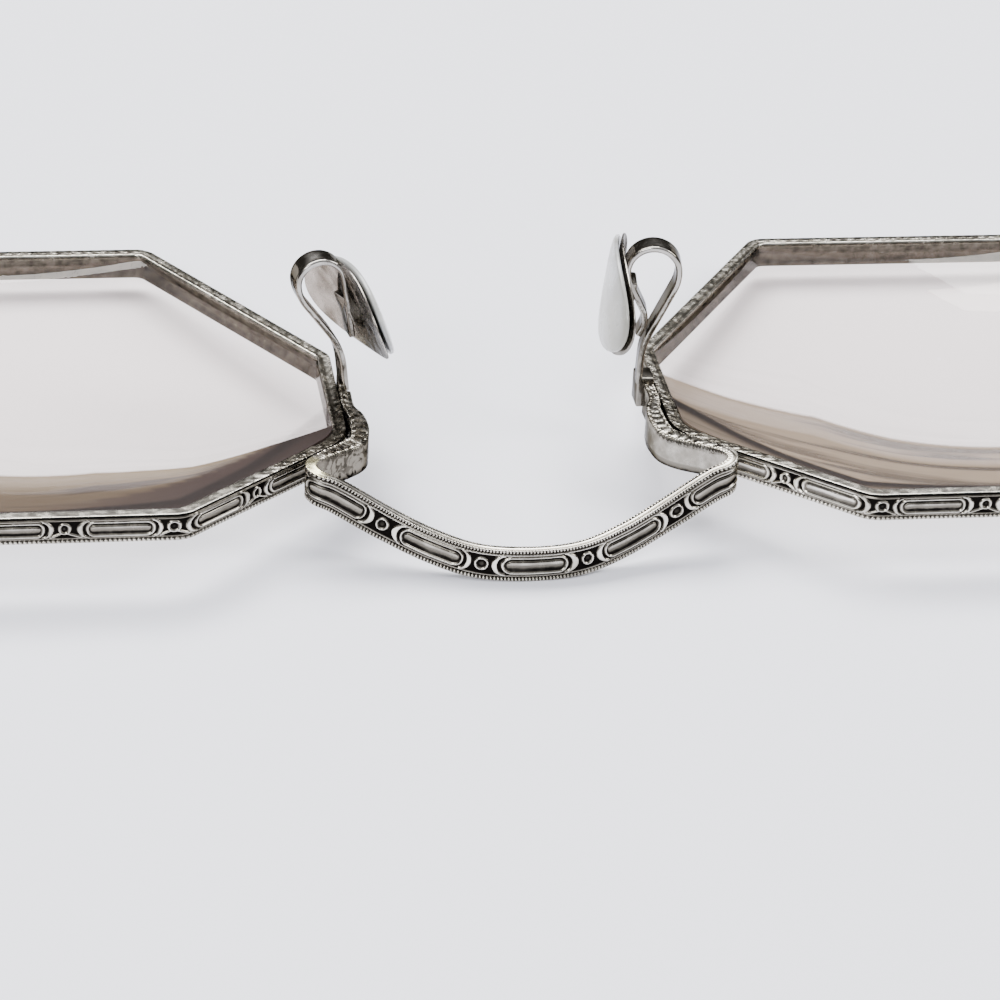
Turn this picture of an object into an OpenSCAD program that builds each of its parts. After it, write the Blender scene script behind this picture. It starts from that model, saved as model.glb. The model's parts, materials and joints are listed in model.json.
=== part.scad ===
// Octagonal eyeglasses with an engraved strap bridge, gooseneck nose pads and
// cable temples. The front lies face down, temples open and pointing up.
// X runs across the face, Y from the brow to the cheek, Z towards the wearer.

/* [Front] */
// Width of each lens opening
lens_w = 42; // [38:0.5:46]
// Height of each lens opening, brow to cheek
lens_h = 36.5; // [33:0.5:40]
// Gap between the two lens openings at the nose
nose_gap = 22.4; // [20:0.2:25]
// Rim size from front to back
rim_depth = 1.8; // [1.4:0.1:2.4]
// Rim wall, from the opening to the outside
rim_wall = 0.9; // [0.7:0.05:1.2]
// Bevel on the rim's outer edges
rim_edge = 0.12; // [0.05:0.01:0.2]
// Corner cut at the brow, measured across
brow_cut_x = 10.3; // [8:0.1:12]
// Corner cut at the brow, measured down
brow_cut_y = 9.05; // [7:0.05:11]
// Corner cut beside the nose, measured across
nose_cut_x = 10.5; // [8:0.1:12]
// Corner cut beside the nose, measured up
nose_cut_y = 16.35; // [14:0.05:18]
// Corner cut at the outer cheek, measured up
cheek_cut_y = 12; // [9:0.5:14]

/* [Lenses] */
// Radius of the lens's front surface
lens_curve = 100; // [80:1:140]
// Thickness of the lens
lens_t = 1.3; // [1:0.1:1.8]
// How far the lens's back lies below the rim at the brow
lens_drop = 0.85; // [0.6:0.05:1]
// Depth of the groove in the rim
groove_depth = 0.4; // [0.3:0.05:0.5]
// Half the width of the groove
groove_half = 0.4; // [0.3:0.05:0.5]
// Play of the lens in its rim
lens_play = 0.04; // [0.02:0.01:0.08]

/* [Bridge] */
// Width of the bridge strap
strap_w = 2.1; // [1.6:0.1:2.4]
// Thickness of the bridge strap
strap_t = 0.75; // [0.6:0.05:0.9]
// Thickness of the strap where it lies along the rim's corner
strap_side_t = 1.15; // [0.9:0.05:1.2]
// Distance of the strap's middle line from the rim beside the nose
strap_bow = 0.75; // [0.7:0.05:0.9]
// How far the strap's elbow stands outside the nose side of the rim
elbow_out = 2.95; // [2.4:0.05:3.2]
// Distance of the elbow from the lens centre line, towards the brow
elbow_y = 14.6; // [14.2:0.05:15]
// Depth of the elbow's middle below the rim's back
elbow_drop = 0.35; // [0.2:0.05:0.8]
// Distance of the arch's crest from the lens centre line
crest_y = 18.8; // [18:0.1:20]
// How far the crest stands in front of the rim's back
crest_drop = 4.3; // [3.6:0.1:5]

/* [Nose pads] */
// Width of the pad arm's ribbon
arm_w = 1.7; // [1.3:0.1:2]
// Thickness of the pad arm's ribbon
arm_t = 0.4; // [0.3:0.05:0.5]
// Height of the pad arm's straight stem over the rim's back
arm_stem = 1.75; // [1.2:0.05:2.4]
// Radius of the right gooseneck loop
right_loop_r = 1.65; // [1.4:0.05:1.9]
// Radius of the left gooseneck loop
left_loop_r = 1.5; // [1.3:0.05:1.8]
// Distance of the pad arm from the lens centre line, towards the brow
arm_y = 2.4; // [1.8:0.1:3]
// Length of the pad
pad_len = 11.5; // [10:0.1:13]
// Width of the pad
pad_w = 6.3; // [5.5:0.1:7]
// Thickness of the pearl
pad_t = 0.6; // [0.5:0.05:0.9]
// Thickness of the pad's metal back
plate_t = 0.2; // [0.15:0.05:0.3]
// How far the metal back stands out round the pearl
plate_lip = 0.15; // [0.1:0.05:0.4]
// Radius of the pad's bow along its length
pad_curve = 18.5; // [14:0.5:24]
// How far the pad's middle lies from its arm, towards the brow
pad_shift = 1; // [0:0.1:1.5]
// Turn of the right pad arm towards the cheek
right_toe = 7; // [0:1:10]
// Turn of the left pad arm towards the cheek
left_toe = 9; // [5:1:14]
// Outward lean of the right pad arm
right_lean = -6; // [-8:1:-3]
// Outward lean of the left pad arm
left_lean = 7; // [4:1:10]
// Splay of the right pad's face
right_splay = 6; // [0:1:8]
// Splay of the left pad's face
left_splay = 19; // [15:1:23]
// Twist of the right pad on its arm
right_twist = 0; // [0:1:8]
// Twist of the left pad on its arm
left_twist = 8; // [0:1:10]
// Pitch of the right pad on its arm
right_pitch = 1; // [-4:1:4]
// Pitch of the left pad on its arm
left_pitch = -9; // [-12:1:0]
// Solder lug between the right arm and the pad's metal back
right_lug = 0.32; // [0.3:0.02:0.7]
// Solder lug between the left arm and the pad's metal back
left_lug = 0.06; // [0.02:0.02:0.2]

/* [Hinges] */
// Radius of the joint screw's shank
screw_r = 0.6; // [0.5:0.05:0.7]
// Radius of the joint screw's head
screw_head_r = 1.05; // [0.9:0.05:1.2]
// Height of the joint screw's head
screw_head_h = 0.5; // [0.4:0.05:0.6]
// Radius of the hinge barrels
barrel_r = 1.4; // [1.2:0.05:1.5]
// Width of the temple's knuckle
knuckle_w = 1.8; // [1.5:0.1:2.2]
// Width of each ear beside the knuckle
ear_w = 1.1; // [0.9:0.05:1.4]
// Running clearance in the hinge, on the radius
hinge_play = 0.04; // [0.02:0.01:0.06]
// Side clearance of the knuckle
side_play = 0.08; // [0.05:0.01:0.12]
// Height of the hinge axis over the rim's back
hinge_up = 3.4; // [3:0.1:4.2]
// Distance of the hinge axis from the rim's outer side
hinge_out = 2.1; // [1.8:0.1:2.6]
// Distance of the hinge from the lens centre line, towards the brow
hinge_y = 3; // [2:0.1:4]
// Slit between the two halves of the end piece
closing_slit = 0.15; // [0.1:0.05:0.3]

/* [Temples] */
// Length from the hinge to the start of the ear curl
temple_reach = 97; // [88:0.5:104]
// Radius of the temple's wire
wire_r = 0.65; // [0.55:0.05:0.75]
// Radius of the wound cable
cable_r = 0.72; // [0.62:0.02:0.82]
// Radius of the cable's core wire
core_r = 0.34; // [0.3:0.02:0.4]
// Length of straight cable before the curl
cable_straight = 12; // [8:0.5:16]
// Radius of the ear curl
curl_r = 20; // [18:0.5:22]
// Angle of the ear curl
curl_angle = 150; // [130:1:160]
// Length of the sleeve between wire and cable
sleeve_len = 6; // [4:0.5:8]
// Radius of the sleeve
sleeve_r = 1; // [0.9:0.05:1.2]
// Length of the temple's end tip
tip_len = 6; // [5:0.5:8]
// Radius of the temple's end tip
tip_r = 1.1; // [1:0.05:1.3]
// Downward droop of the temples, from square to the front
droop = 8; // [4:1:10]

/* [Hidden] */

RIGHT = 1;
LEFT = -1;
metal_color = "#c9c7c0";
dark_metal_color = "#8f8c86";
glass_color = [0.93, 0.88, 0.86, 0.45];
pearl_color = "#ecebe6";
round_fn = 64;
sphere_fn = 240;
past = 1;

// Outline of the right lens opening, anticlockwise from the brow edge's nose end
nose_x = nose_gap / 2;
temple_x = nose_x + lens_w;
half_h = lens_h / 2;
opening = [
    [nose_x + brow_cut_x, -half_h],
    [temple_x - brow_cut_x, -half_h],
    [temple_x, brow_cut_y - half_h],
    [temple_x, half_h - cheek_cut_y],
    [temple_x - nose_cut_x, half_h],
    [nose_x + nose_cut_x, half_h],
    [nose_x, half_h - nose_cut_y],
    [nose_x, brow_cut_y - half_h],
];
lens_mid_x = nose_x + lens_w / 2;
nose_wall_x = nose_x - rim_wall;
side_wall_x = temple_x + rim_wall;

// Lens surfaces: the back one passes lens_drop below the rim at the brow edge
lens_back_curve = lens_curve - lens_t;
brow_sag = lens_back_curve - sqrt(pow(lens_back_curve, 2) - pow(half_h, 2));
lens_centre_z = -lens_drop - brow_sag + lens_back_curve;
groove_offset = 0.2;
groove_z = -rim_depth / 2 - groove_offset;

// Bridge: along the rim's corner, round the elbow, then the arch; points as [x, y, z, thickness]
strap_x = nose_wall_x - strap_t / 2;
strap_z = -rim_depth / 2;
strap_gap = 0.25;
strap_end_y = -arm_y - arm_w / 2 - strap_gap;
side_x = nose_wall_x - strap_bow;
elbow = [nose_wall_x + elbow_out, -elbow_y, -elbow_drop];
crest = [0, -crest_y, -crest_drop, strap_t];
arch_steps = [[0.672, 0.571, 0.481], [0.453, 0.286, 0.203], [0.242, 0.071, 0.038]];
strap_half = concat(
    [
        [strap_x, strap_end_y, strap_z, strap_t],
        [strap_x, strap_end_y - 2, strap_z + 0.02, strap_t],
        [side_x + 0.07, strap_end_y - 3.3, strap_z + 0.08, (strap_t + strap_side_t) / 2],
        [side_x, -8.2, strap_z + 0.12, strap_side_t],
        [side_x + 0.07, -9.4, strap_z + 0.15, strap_side_t],
        [side_x + 0.36, -10.45, strap_z + 0.15, strap_side_t],
        [side_x + 1.21, -11.3, strap_z + 0.15, strap_side_t],
        [elbow.x - 1.35, elbow.y + 2.05, elbow.z - 0.15, (strap_t + strap_side_t) / 2],
        [elbow.x - 0.35, elbow.y + 0.9, elbow.z, strap_t],
        [elbow.x, elbow.y, elbow.z, strap_t],
        [elbow.x - 0.45, elbow.y - 0.75, elbow.z - 0.15, strap_t],
        [elbow.x - 1.6, elbow.y - 1.05, elbow.z - 0.6, strap_t],
    ],
    [
        for (s = arch_steps)
            [
                elbow.x * s.x,
                crest.y + (crest_y - elbow_y) * s.y,
                crest.z + (elbow.z - crest.z) * s.z,
                strap_t,
            ]
    ]
);

// The front rests on the bridge's crest and on both lens domes
rest_y = crest_y - strap_t / 2;
rest_z = crest_drop + strap_w / 2;
rest_dist = norm([rest_y, lens_centre_z + rest_z]);
seat_tilt = atan2(lens_centre_z + rest_z, rest_y) - asin(lens_curve / rest_dist);
seat_lift = rest_z * cos(seat_tilt) - rest_y * sin(seat_tilt);

// Hinge axis, right side
hinge_x = side_wall_x + hinge_out;
hinge_z = hinge_up;
stop_x = hinge_x + barrel_r;
block_wall = 1;
block_x = stop_x + block_wall;
ear_in = knuckle_w / 2 + side_play;
ear_out = ear_in + ear_w;
floor_gap = 0.2;
floor_z = hinge_z - barrel_r - floor_gap;
butt_play = 0.06;
butt_len = 7;
knuckle_rise = 1.2;
butt_rise = 2;
joint_fit = 0.01;
slot_w = 0.24;
slot_depth = 0.22;
shank_past = 0.2;
shank_into_head = 0.05;
wire_x = (stop_x + block_x) / 2 - hinge_x;
wire_start = barrel_r + butt_len;
sleeve_start = temple_reach - cable_straight - sleeve_len;
sleeve_mid = sleeve_start + sleeve_len / 2;

// Middle of the whole object in Y, from the bridge's crest to the end of the temples
tail_tilt = seat_tilt + droop;
end_tilt = tail_tilt + curl_angle;
curl_far_y = temple_reach * sin(tail_tilt) + curl_r * (cos(tail_tilt) - cos(end_tilt))
    + (tip_len - tip_r) * sin(end_tilt) + tip_r;
hinge_seat_y = -hinge_y * cos(seat_tilt) + hinge_z * sin(seat_tilt);
front_low_y = -(crest_y + strap_t / 2) * cos(seat_tilt) - rest_z * sin(seat_tilt);
seat_shift = -(front_low_y + hinge_seat_y + curl_far_y) / 2;

// Pad arms: a stem, an outward flare, the loop, and a leg down the pad's back
right_foot_inset = 0.93;
left_foot_inset = 0.38;
foot_low = -rim_depth * 0.9;
foot_top = 0.45;
neck_start = 0.05;
flare_r = 5;
flare_angle = 30;
right_flare_run = 3.5;
left_flare_run = 2.7;
right_rake = 8;
shoulder_r = 2.6;
right_turn = -200;
left_turn = -178;
right_leg = [["run", 2.2], ["turn", 1.6, 50], ["run", 0.5]];
left_leg = [["run", 4.2]];
left_seat_run = 2.4;
pad_bow = pad_len * pad_len / pad_curve / 4;
plate_len = pad_len + 2 * plate_lip;
plate_w = pad_w + 2 * plate_lip;
right_drop = 1.6;
left_drop = -0.2;
lug_h = 2;
lug_sink = 0.4;
right_lug_low = 1.8;
right_lug_reach = 0.55;

function unit(v) = v / norm(v);
function outward(e) = unit([e.y, -e.x]);
function grown(points, d) = [
    for (i = [0 : len(points) - 1])
        let (
            n = len(points),
            before = outward(points[i] - points[(i + n - 1) % n]),
            after = outward(points[(i + 1) % n] - points[i])
        )
        points[i] + d * (before + after) / (1 + before * after)
];
function layer(d, z) = [for (p = grown(opening, d)) [p.x, p.y, z]];

// Smooth curve through the points, with a number of steps to each span
function blend(a, b, c, d, t) =
    0.5 * ((2 * b) + (c - a) * t + (2 * a - 5 * b + 4 * c - d) * t * t + (3 * b - a - 3 * c + d) * t * t * t);
function smooth(points, steps) = concat(
    [
        for (i = [0 : len(points) - 2])
            for (k = [0 : steps - 1])
                blend(
                    points[max(i - 1, 0)], points[i], points[i + 1],
                    points[min(i + 2, len(points) - 1)], k / steps
                )
    ],
    [points[len(points) - 1]]
);
function flipped(p) = [-p.x, p.y, p.z, p[3]];
function place(p) = [p.x, p.y, p.z];
function reversed(list) = [for (i = [len(list) - 1 : -1 : 0]) list[i]];

// A path of straight runs and turns in a plane: points as [out, up, heading]
function turned(p, r, angle) =
    let (s = sign(angle), h = p.z, g = p.z + angle)
    [p.x + s * r * (cos(h) - cos(g)), p.y - s * r * (sin(h) - sin(g)), g];
function moved(p, run) = [p.x + run * sin(p.z), p.y + run * cos(p.z), p.z];
function steps_of(p, step) =
    step[0] == "run"
        ? [moved(p, step[1])]
        : let (n = ceil(abs(step[2]) / 10)) [for (k = [1 : n]) turned(p, step[1], step[2] * k / n)];
function walked(p, steps, i = 0) =
    i == len(steps)
        ? []
        : let (part = steps_of(p, steps[i])) concat(part, walked(part[len(part) - 1], steps, i + 1));
function side_of(p, d) = [p.x + d * cos(p.z), p.y - d * sin(p.z)];

function toe_of(s) = s == RIGHT ? right_toe : left_toe;
function lean_of(s) = s == RIGHT ? right_lean : left_lean;
function splay_of(s) = s == RIGHT ? right_splay : left_splay;
function pitch_of(s) = s == RIGHT ? right_pitch : left_pitch;
function lug_of(s) = s == RIGHT ? right_lug : left_lug;
function loop_of(s) = s == RIGHT ? right_loop_r : left_loop_r;
function drop_of(s) = s == RIGHT ? right_drop : left_drop;
function turn_of(s) = s == RIGHT ? right_turn : left_turn;
function leg_of(s) = s == RIGHT ? right_leg : left_leg;
function twist_of(s) = s == RIGHT ? right_twist : left_twist;
function foot_inset_of(s) = s == RIGHT ? right_foot_inset : left_foot_inset;
function foot_x_of(s) = nose_wall_x - foot_inset_of(s);
function rake_of(s) = s == RIGHT ? right_rake : 0;
function neck_of(s) = walked(
    [0, neck_start, rake_of(s)],
    [
        ["run", arm_stem - neck_start],
        ["turn", flare_r, flare_angle - rake_of(s)],
        ["run", s == RIGHT ? right_flare_run : left_flare_run],
        ["turn", shoulder_r, -flare_angle],
    ]
);
function arm_path(s) =
    let (start = [0, neck_start, rake_of(s)], neck = neck_of(s), top = neck[len(neck) - 1])
    concat(
        [start], neck,
        walked(top, concat([["turn", loop_of(s), turn_of(s)]], leg_of(s)))
    );
// Where the arm faces the pad's back: on the right loop, and on the left leg
function seat_heading(s) = -(180 - splay_of(s)) - lean_of(s);
function pad_seat(s) =
    let (neck = neck_of(s), top = neck[len(neck) - 1])
    s == RIGHT
        ? turned(top, right_loop_r, seat_heading(s))
        : moved(turned(top, left_loop_r, left_turn), left_seat_run);

// A closed solid through layers of points, the lowest first
module loft(layers) {
    n = len(layers[0]);
    last = (len(layers) - 1) * n;
    polyhedron(
        points = [for (l = layers) for (p = l) p],
        faces = concat(
            [[for (i = [0 : n - 1]) i]],
            [[for (i = [n - 1 : -1 : 0]) last + i]],
            [
                for (k = [0 : len(layers) - 2])
                    for (i = [0 : n - 1])
                        for (half = [0, 1])
                            let (j = (i + 1) % n, a = k * n)
                            half == 0 ? [a + i, a + n + i, a + n + j] : [a + i, a + n + j, a + j]
            ]
        )
    );
}

// A flat strap swept along a path of [x, y, z, thickness], its width as upright as the path allows
module strap(path, w) {
    last = len(path) - 1;
    layers = [
        for (i = [0 : last])
            let (
                ahead = unit(place(path[min(i + 1, last)]) - place(path[max(i - 1, 0)])),
                up = unit([0, 0, 1] - ahead * ahead.z),
                across = cross(ahead, up) * path[i][3]
            )
            [for (c = [[-1, -1], [-1, 1], [1, 1], [1, -1]]) place(path[i]) + across * c.x / 2 + up * c.y * w / 2]
    ];
    loft(layers);
}

module seated() {
    translate([0, seat_shift, seat_lift]) rotate([-seat_tilt, 0, 0]) children();
}

module on_side(s) {
    if (s == LEFT) mirror([1, 0, 0]) children();
    else children();
}

// Cylinder along Y, from y1 to y2
module rod_y(r, y1, y2) {
    translate([0, y1, 0]) rotate([-90, 0, 0]) cylinder(r = r, h = y2 - y1, $fn = round_fn);
}

module rim(s) {
    color(metal_color) seated() on_side(s) difference() {
        loft([
            layer(rim_wall - rim_edge, -rim_depth),
            layer(rim_wall, rim_edge - rim_depth),
            layer(rim_wall, -rim_edge),
            layer(rim_wall - rim_edge, 0),
        ]);
        loft([
            layer(0, -rim_depth - past),
            layer(0, groove_z - groove_half),
            layer(groove_depth, groove_z),
            layer(0, groove_z + groove_half),
            layer(0, past),
        ]);
        translate([temple_x - past, -hinge_y - closing_slit / 2, -rim_depth - past])
            cube([rim_wall + 2 * past, closing_slit, rim_depth + 2 * past]);
    }
}

module lens(s) {
    edge = -lens_play;
    color(glass_color) seated() on_side(s) intersection() {
        loft([
            layer(edge, -rim_depth - 3),
            layer(edge, groove_z - groove_half),
            layer(groove_depth - 2 * lens_play, groove_z),
            layer(edge, groove_z + groove_half),
            layer(edge, rim_depth),
        ]);
        translate([lens_mid_x, 0, lens_centre_z]) difference() {
            sphere(r = lens_curve, $fn = sphere_fn);
            sphere(r = lens_back_curve, $fn = sphere_fn);
        }
    }
}

module bridge() {
    half = smooth(concat(strap_half, [crest, flipped(strap_half[len(strap_half) - 1])]), 6);
    right = [for (i = [0 : len(half) - 7]) half[i]];
    left = [for (i = [len(right) - 2 : -1 : 0]) flipped(right[i])];
    color(metal_color) seated() difference() {
        strap(concat(right, left), strap_w);
        for (s = [RIGHT, LEFT])
            on_side(s) loft([layer(rim_wall, -rim_depth - strap_w), layer(rim_wall, strap_w)]);
    }
}

// Half of an end piece: the block soldered to the rim's cut end, its ear and its stop
module end_piece(s, upper) {
    from = upper ? -ear_out : closing_slit / 2;
    half_w = ear_out - closing_slit / 2;
    color(metal_color) seated() on_side(s) translate([0, -hinge_y, 0]) difference() {
        union() {
            translate([side_wall_x, from, -rim_depth])
                cube([block_x - side_wall_x, half_w, rim_depth + floor_z]);
            translate([stop_x + butt_play, from, floor_z - past])
                cube([block_x - stop_x - butt_play, half_w, hinge_z - floor_z + past]);
            translate([hinge_x - barrel_r, upper ? -ear_out : ear_in, floor_z - past])
                cube([stop_x + block_wall / 2 - hinge_x + barrel_r, ear_w, hinge_z - floor_z + past]);
            translate([hinge_x, 0, hinge_z])
                rod_y(barrel_r, upper ? -ear_out : ear_in, upper ? -ear_in : ear_out);
        }
        translate([hinge_x, 0, hinge_z])
            rod_y(screw_r + hinge_play / 2, upper ? -ear_out - past : 0, upper ? 0 : ear_out + past);
    }
}

module joint_screw(s) {
    color(dark_metal_color) seated() on_side(s) translate([hinge_x, -hinge_y, hinge_z]) difference() {
        union() {
            rod_y(screw_r, -ear_out - shank_past, ear_out + shank_into_head);
            rod_y(screw_head_r, ear_out, ear_out + screw_head_h);
        }
        translate([-past - screw_head_r, ear_out + screw_head_h - slot_depth, -slot_w / 2])
            cube([2 * (screw_head_r + past), past, slot_w]);
    }
}

module pad_arm(s) {
    path = arm_path(s);
    edge_in = [for (p = path) side_of(p, -arm_t / 2)];
    edge_out = [for (p = reversed(path)) side_of(p, arm_t / 2)];
    color(metal_color) seated() on_side(s) difference() {
        union() {
            arm_frame(s) translate([0, arm_w / 2, 0]) rotate([90, 0, 0])
                linear_extrude(arm_w) polygon(concat(edge_in, edge_out));
            translate([foot_x_of(s) - arm_t / 2, -arm_y - arm_w / 2, foot_low])
                cube([foot_inset_of(s) + arm_t / 2, arm_w, foot_top - foot_low]);
            seat_frame(s)
                translate([-arm_t / 2 - lug_of(s) - lug_sink, -arm_w / 2, -lug_h / 2 - (s == RIGHT ? right_lug_low : 0)])
                    cube([arm_t / 2 + lug_of(s) + lug_sink + (s == RIGHT ? right_lug_reach : 0), arm_w, lug_h]);
        }
        pad_frame(s) bowed_oval(plate_len, plate_w, pad_curve - pad_t - plate_t, pad_curve);
    }
}

// Frame of an arm: Z up its stem, X away from the nose; origin in the middle of its foot
module arm_frame(s) {
    translate([foot_x_of(s), -arm_y, 0]) rotate([0, 0, -toe_of(s)]) rotate([0, lean_of(s), 0]) children();
}

// Frame of a pad: X away from the nose, Y along the pad, Z up its width; origin on its metal back
module seat_frame(s) {
    seat = pad_seat(s);
    arm_frame(s) translate([seat.x, 0, seat.y]) rotate([0, -lean_of(s), 0])
        rotate([0, 0, -twist_of(s)]) rotate([pitch_of(s), 0, 0]) rotate([0, splay_of(s), 0]) children();
}
module pad_frame(s) {
    seat_frame(s) translate([-arm_t / 2 - lug_of(s), -pad_shift, -drop_of(s)]) children();
}

module bowed_oval(len, w, inner, outer) {
    steps = 48;
    outline = [for (k = [0 : steps - 1]) [w / 2 * cos(360 * k / steps), len / 2 * sin(360 * k / steps)]];
    intersection() {
        translate([pad_bow, 0, 0]) rotate([0, -90, 0]) linear_extrude(outer - inner + 2 * pad_bow)
            polygon(outline);
        translate([pad_curve - pad_t - plate_t, 0, -w]) difference() {
            cylinder(r = outer, h = 2 * w, $fn = 180);
            translate([0, 0, -past]) cylinder(r = inner, h = 2 * w + 2 * past, $fn = 180);
        }
    }
}

module pad_plate(s) {
    inner = pad_curve - pad_t - plate_t;
    color(metal_color) seated() on_side(s) pad_frame(s)
        bowed_oval(plate_len, plate_w, inner, inner + plate_t);
}

module nose_pad(s) {
    inner = pad_curve - pad_t;
    color(pearl_color) seated() on_side(s) pad_frame(s) bowed_oval(pad_len, pad_w, inner, inner + pad_t);
}

// Frame of an open temple: Z along it, X outwards, origin on the hinge axis
module temple_frame(s) {
    seated() on_side(s) translate([hinge_x, -hinge_y, hinge_z]) rotate([-droop, 0, 0]) children();
}

module temple(s) {
    color(metal_color) seated() on_side(s) translate([hinge_x, -hinge_y, hinge_z]) difference() {
        union() {
            rod_y(barrel_r, -knuckle_w / 2, knuckle_w / 2);
            translate([0, -knuckle_w / 2, 0]) cube([block_x - hinge_x, knuckle_w, barrel_r + knuckle_rise]);
            translate([stop_x - hinge_x + butt_play, -ear_out, butt_play])
                cube([block_x - stop_x - butt_play, 2 * ear_out, barrel_r + butt_rise]);
            rotate([-droop, 0, 0]) translate([wire_x, 0, barrel_r]) linear_extrude(butt_len)
                square([block_x - stop_x - butt_play, knuckle_w], center = true);
            rotate([-droop, 0, 0]) translate([wire_x, 0, wire_start - past])
                cylinder(r = wire_r, h = sleeve_mid - wire_start + past - joint_fit, $fn = round_fn);
        }
        rod_y(screw_r + hinge_play, -knuckle_w, knuckle_w);
    }
}

module temple_sleeve(s) {
    color(metal_color) temple_frame(s) translate([wire_x, 0, sleeve_start]) difference() {
        cylinder(r = sleeve_r, h = sleeve_len, $fn = round_fn);
        translate([0, 0, -past]) cylinder(r = wire_r + joint_fit, h = sleeve_len / 2 + past, $fn = round_fn);
        translate([0, 0, sleeve_len / 2]) cylinder(r = cable_r + joint_fit, h = sleeve_len, $fn = round_fn);
    }
}

// A round wire along the temple's tail: straight, then the curl towards the cheek
module tail(r, from, angle) {
    translate([0, 0, from]) cylinder(r = r, h = temple_reach - from, $fn = round_fn);
    translate([0, curl_r, temple_reach]) rotate([0, 90, 0]) rotate([0, 0, -90])
        rotate_extrude(angle = -angle, $fn = 160) translate([curl_r, 0]) circle(r = r, $fn = 32);
}

module temple_core(s) {
    color(dark_metal_color) temple_frame(s) translate([wire_x, 0, 0])
        tail(core_r, sleeve_mid, curl_angle);
}

module temple_cable(s) {
    color(metal_color) temple_frame(s) translate([wire_x, 0, 0]) difference() {
        tail(cable_r, sleeve_mid, curl_angle);
        tail(core_r + joint_fit, sleeve_mid - past, curl_angle + past);
    }
}

module temple_tip(s) {
    color(metal_color) temple_frame(s) translate([wire_x, curl_r, temple_reach])
        rotate([-curl_angle, 0, 0]) translate([0, -curl_r, 0]) {
            cylinder(r = tip_r, h = tip_len - tip_r, $fn = round_fn);
            translate([0, 0, tip_len - tip_r]) sphere(r = tip_r, $fn = round_fn);
        }
}

rim(RIGHT);  // rim_right
rim(LEFT);  // rim_left
lens(RIGHT);  // lens_right
lens(LEFT);  // lens_left
bridge();
end_piece(RIGHT, true);  // end_piece_upper_right
end_piece(LEFT, true);  // end_piece_upper_left
end_piece(RIGHT, false);  // end_piece_lower_right
end_piece(LEFT, false);  // end_piece_lower_left
joint_screw(RIGHT);  // joint_screw_right
joint_screw(LEFT);  // joint_screw_left
pad_arm(RIGHT);  // pad_arm_right
pad_arm(LEFT);  // pad_arm_left
pad_plate(RIGHT);  // pad_plate_right
pad_plate(LEFT);  // pad_plate_left
nose_pad(RIGHT);  // nose_pad_right
nose_pad(LEFT);  // nose_pad_left
temple(RIGHT);  // temple_right
temple(LEFT);  // temple_left
temple_sleeve(RIGHT);  // temple_sleeve_right
temple_sleeve(LEFT);  // temple_sleeve_left
temple_core(RIGHT);  // temple_core_right
temple_core(LEFT);  // temple_core_left
temple_cable(RIGHT);  // temple_cable_right
temple_cable(LEFT);  // temple_cable_left
temple_tip(RIGHT);  // temple_tip_right
temple_tip(LEFT);  // temple_tip_left
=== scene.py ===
import bpy
import bmesh
import json
import math
import numpy as np
from mathutils import Matrix, Vector


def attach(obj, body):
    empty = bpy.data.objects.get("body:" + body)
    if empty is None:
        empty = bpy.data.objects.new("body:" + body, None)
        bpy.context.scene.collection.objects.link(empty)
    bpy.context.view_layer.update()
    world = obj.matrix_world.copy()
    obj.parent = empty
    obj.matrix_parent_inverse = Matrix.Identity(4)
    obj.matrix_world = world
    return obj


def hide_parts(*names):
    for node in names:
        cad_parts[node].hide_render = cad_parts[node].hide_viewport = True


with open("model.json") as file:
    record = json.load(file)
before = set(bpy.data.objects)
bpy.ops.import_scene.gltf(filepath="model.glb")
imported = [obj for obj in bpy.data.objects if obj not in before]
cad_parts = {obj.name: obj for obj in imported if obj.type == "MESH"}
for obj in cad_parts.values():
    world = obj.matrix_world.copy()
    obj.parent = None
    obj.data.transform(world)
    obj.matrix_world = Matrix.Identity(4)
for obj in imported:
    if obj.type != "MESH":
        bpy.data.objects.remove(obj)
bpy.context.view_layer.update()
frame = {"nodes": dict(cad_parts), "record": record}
mm = 0.001
weld = dict(grid=2e-7, fitting=2e-6, turned=1e-4, lens=0.03)    # m in the row frame, mm for the last two

# The front's own frame: millimetres, zero in the middle between the lenses, z up from the rims' backs.
# The values to change stand in a dictionary beside each piece's code, in mm and degrees.
seat = dict(hingeX=56.2, hingeY=-3.0, hingeUp=3.4)
hinge = {j["name"]: j for j in frame["record"]["behaviour"]["joints"]}["fold_right"]
tilt = math.atan2(hinge["axis"][2], -hinge["axis"][1])
turn = Matrix.Rotation(-tilt, 3, "X")
hingeSpot = turn @ Vector((seat["hingeX"], seat["hingeY"], seat["hingeUp"]))
shift = Vector(hinge["pos_m"]) / mm - hingeSpot
turnArray = np.array(turn)
shiftArray = np.array(shift)


def toRow(points):
    return (np.asarray(points) @ turnArray.T + shiftArray) * mm


def unit(v):
    return v / np.maximum(np.linalg.norm(v, axis=-1, keepdims=True), 1e-9)


def ease(low, high, x):
    t = np.clip((x - low) / (high - low), 0, 1)
    return t * t * (3 - 2 * t)


def ridge(d, width):
    return np.exp(-((d / width) ** 2))


def between(x, low, high):
    return (x > low) & (x < high)


# distances along a path, from 0 at its first point
def lengths(path):
    return np.concatenate([[0], np.cumsum(np.linalg.norm(np.diff(path, axis=0), axis=1))])


# a section's two coordinates, at fractional places in its list of points
def onSection(section, at):
    return [np.interp(at, np.arange(len(section)), section[:, k]) for k in range(2)]


# height of a row of beads, 1 on them and low beside them; beads counts them along the row
def beadRow(distance, beads, middle, radius, low):
    off = (distance - middle) / radius
    grain = ((beads + 0.5) % 1.0 - 0.5) * 2.2
    bead = np.sqrt(np.clip(1 - off ** 2 - grain ** 2, 0, 1))
    return np.where(np.abs(off) < 1.1, low + (1 - low) * bead, 1.0)


# moves a mesh's points to these places, given in the front's own frame
def settle(bm, points):
    for v, spot in zip(bm.verts, toRow(points)):
        v.co = spot
    bmesh.ops.recalc_face_normals(bm, faces=bm.faces)


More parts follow.
